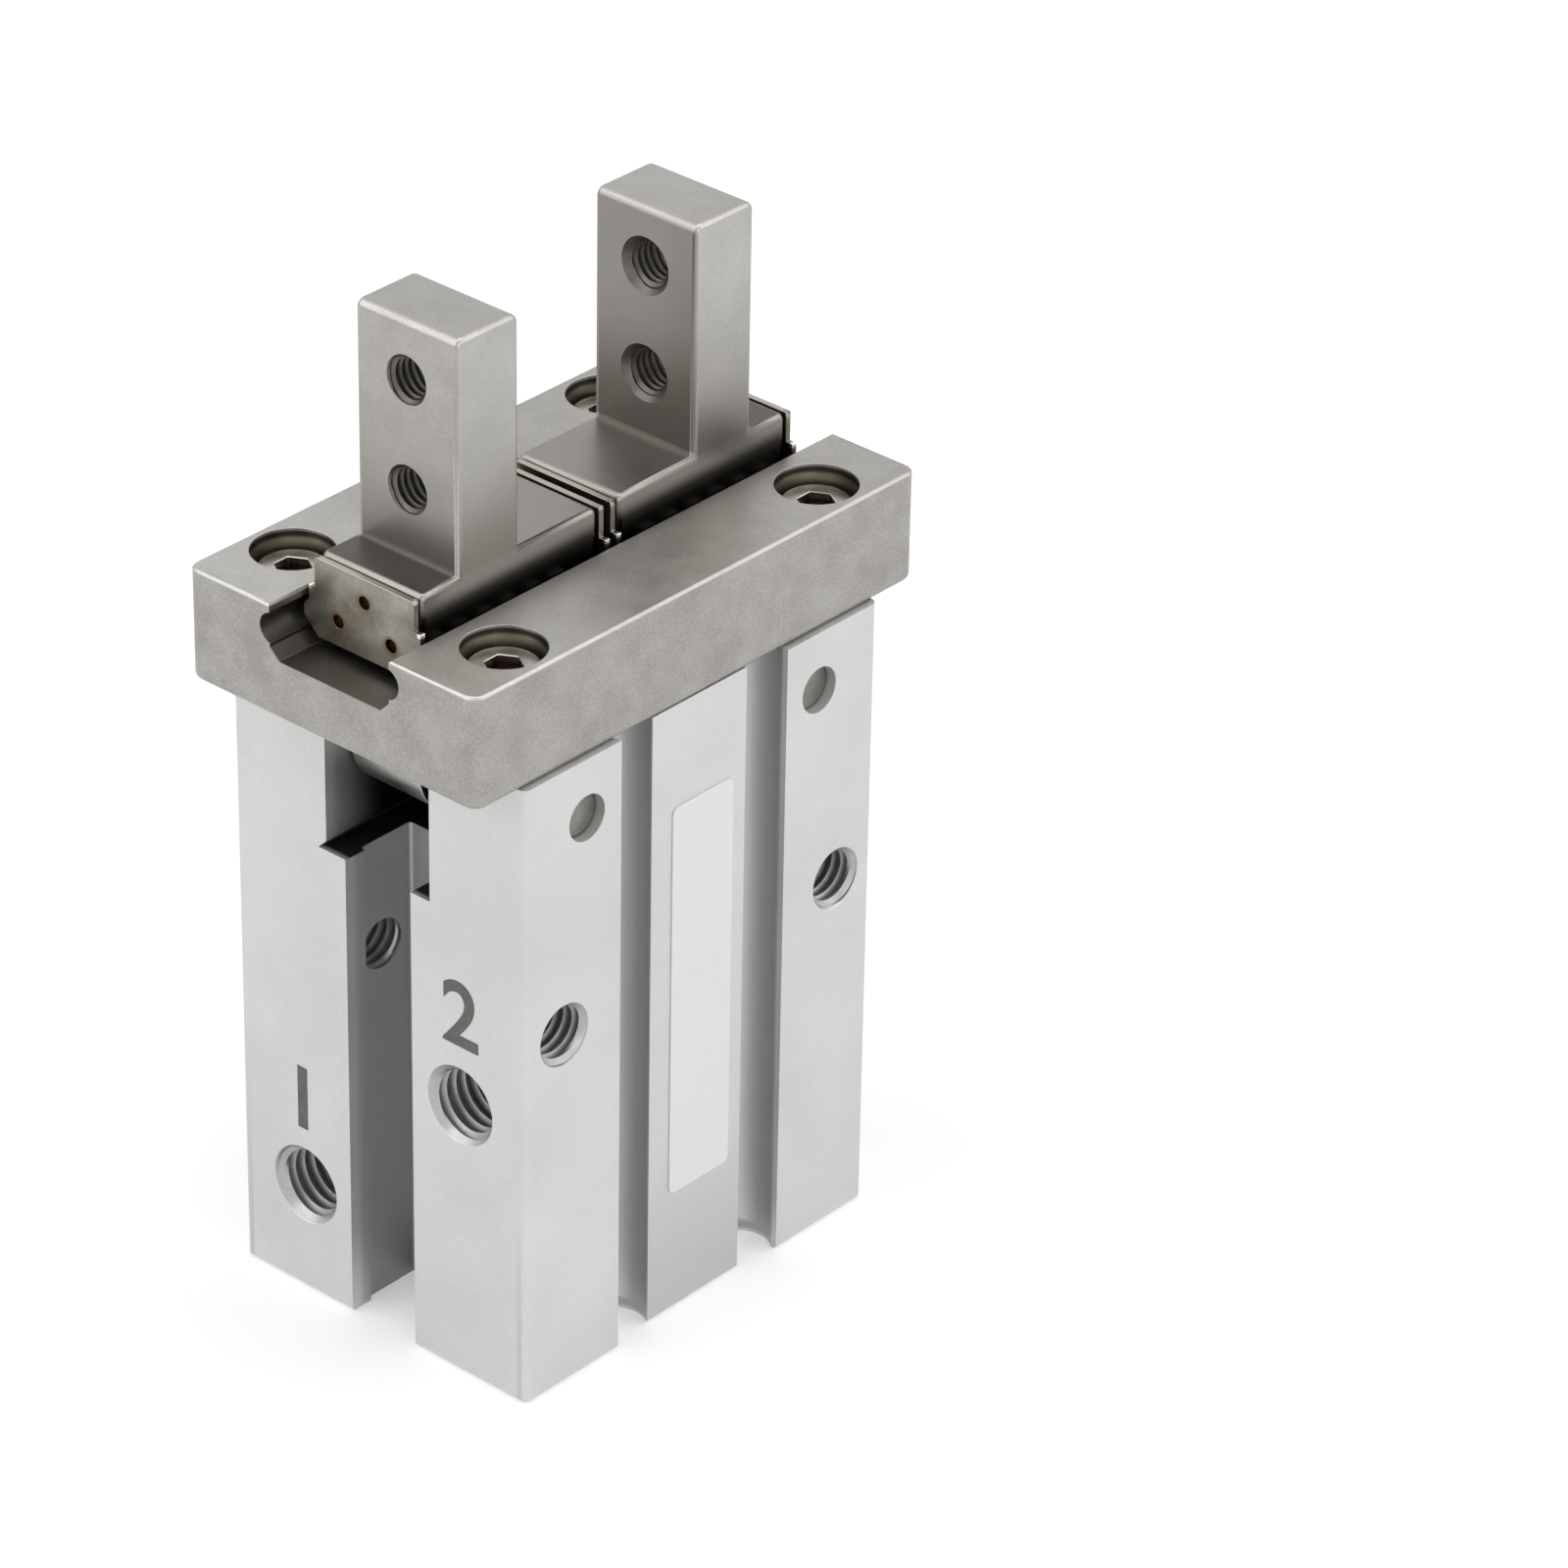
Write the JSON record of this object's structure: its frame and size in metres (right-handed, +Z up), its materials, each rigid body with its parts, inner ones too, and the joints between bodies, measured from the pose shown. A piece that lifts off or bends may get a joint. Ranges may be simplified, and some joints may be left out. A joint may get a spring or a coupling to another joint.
{
  "type": "pneumatic parallel gripper",
  "caption": "Double-acting air gripper: an aluminium cylinder body, a steel guide across its top and upright fingers that slide apart on balls, moved by a piston and bell-crank levers.",
  "frame": {"origin": "centre of the bottom mounting face, on the cylinder's axis", "axes": "+X along the fingers' travel, with the air ports on the -X face; +Y through the thickness; +Z up along the cylinder's axis, towards the fingers. Drawn closed, piston down."},
  "size_m": [0.038, 0.0236, 0.0673],
  "materials": {
    "housing_aluminium": "fine matte anodised",
    "guide_steel": "tumbled satin, ground on top",
    "finger_steel": "satin",
    "plate_steel": "bright sheet",
    "screw_steel": "bright",
    "bearing_steel": "polished",
    "pin_steel": "ground",
    "lever_steel": "satin",
    "piston_steel": "turned",
    "cap_aluminium": "anodised",
    "ring_steel": "dark phosphated",
    "seal_rubber": "matte",
    "bumper_rubber": "matte",
    "magnet": "matte"
  },
  "bodies": {
    "housing": {"housing": "housing_aluminium", "end_cap": "cap_aluminium", "cap_gasket": "seal_rubber", "retaining_ring": "ring_steel", "lower_bumper": "bumper_rubber", "upper_bumper": "bumper_rubber", "rod_seal": "seal_rubber", "lever_shafts": "pin_steel", "guide": "guide_steel", "guide_screws": "screw_steel", "dowel_pins": "pin_steel"},
    "piston": {"piston": "piston_steel", "piston_seal": "seal_rubber", "magnet_ring": "magnet", "rod_rollers": "pin_steel"},
    "finger_left": {"finger_left": "finger_steel", "finger_roller_left": "pin_steel", "outer_end_plate_left": "plate_steel", "inner_end_plate_left": "plate_steel"},
    "balls_left": {"front_balls_left": "bearing_steel", "back_balls_left": "bearing_steel"},
    "lever_left": {"lever_left": "lever_steel"},
    "finger_right": {"finger_right": "finger_steel", "finger_roller_right": "pin_steel", "outer_end_plate_right": "plate_steel", "inner_end_plate_right": "plate_steel"},
    "balls_right": {"front_balls_right": "bearing_steel", "back_balls_right": "bearing_steel"},
    "lever_right": {"lever_right": "lever_steel"}
  },
  "joints": [
    {"name": "piston_slide", "type": "slide", "parent": "housing", "child": "piston", "axis": [0, 0, 1], "range_m": [0, 0.00255]},
    {"name": "finger_left_slide", "type": "slide", "parent": "housing", "child": "finger_left", "axis": [-1, 0, 0], "range_m": [0, 0.003]},
    {"name": "balls_left_travel", "type": "slide", "parent": "housing", "child": "balls_left", "axis": [-1, 0, 0], "range_m": [0, 0.0015]},
    {"name": "lever_left_swing", "type": "hinge", "parent": "housing", "child": "lever_left", "pos_m": [-0.0101, 0, 0.0386], "axis": [0, -1, 0], "range_deg": [0, 18.33]},
    {"name": "finger_right_slide", "type": "slide", "parent": "housing", "child": "finger_right", "axis": [1, 0, 0], "range_m": [0, 0.003]},
    {"name": "balls_right_travel", "type": "slide", "parent": "housing", "child": "balls_right", "axis": [1, 0, 0], "range_m": [0, 0.0015]},
    {"name": "lever_right_swing", "type": "hinge", "parent": "housing", "child": "lever_right", "pos_m": [0.0101, 0, 0.0386], "axis": [0, 1, 0], "range_deg": [0, 18.33]}
  ],
  "couplings": [
    {"joint": "finger_left_slide", "follows": "piston_slide", "ratio": 1.1772},
    {"joint": "balls_left_travel", "follows": "piston_slide", "ratio": 0.58861},
    {"joint": "lever_left_swing", "follows": "piston_slide", "rad_per_m": 125.5},
    {"joint": "finger_right_slide", "follows": "piston_slide", "ratio": 1.1772},
    {"joint": "balls_right_travel", "follows": "piston_slide", "ratio": 0.58861},
    {"joint": "lever_right_swing", "follows": "piston_slide", "rad_per_m": 125.5}
  ]
}
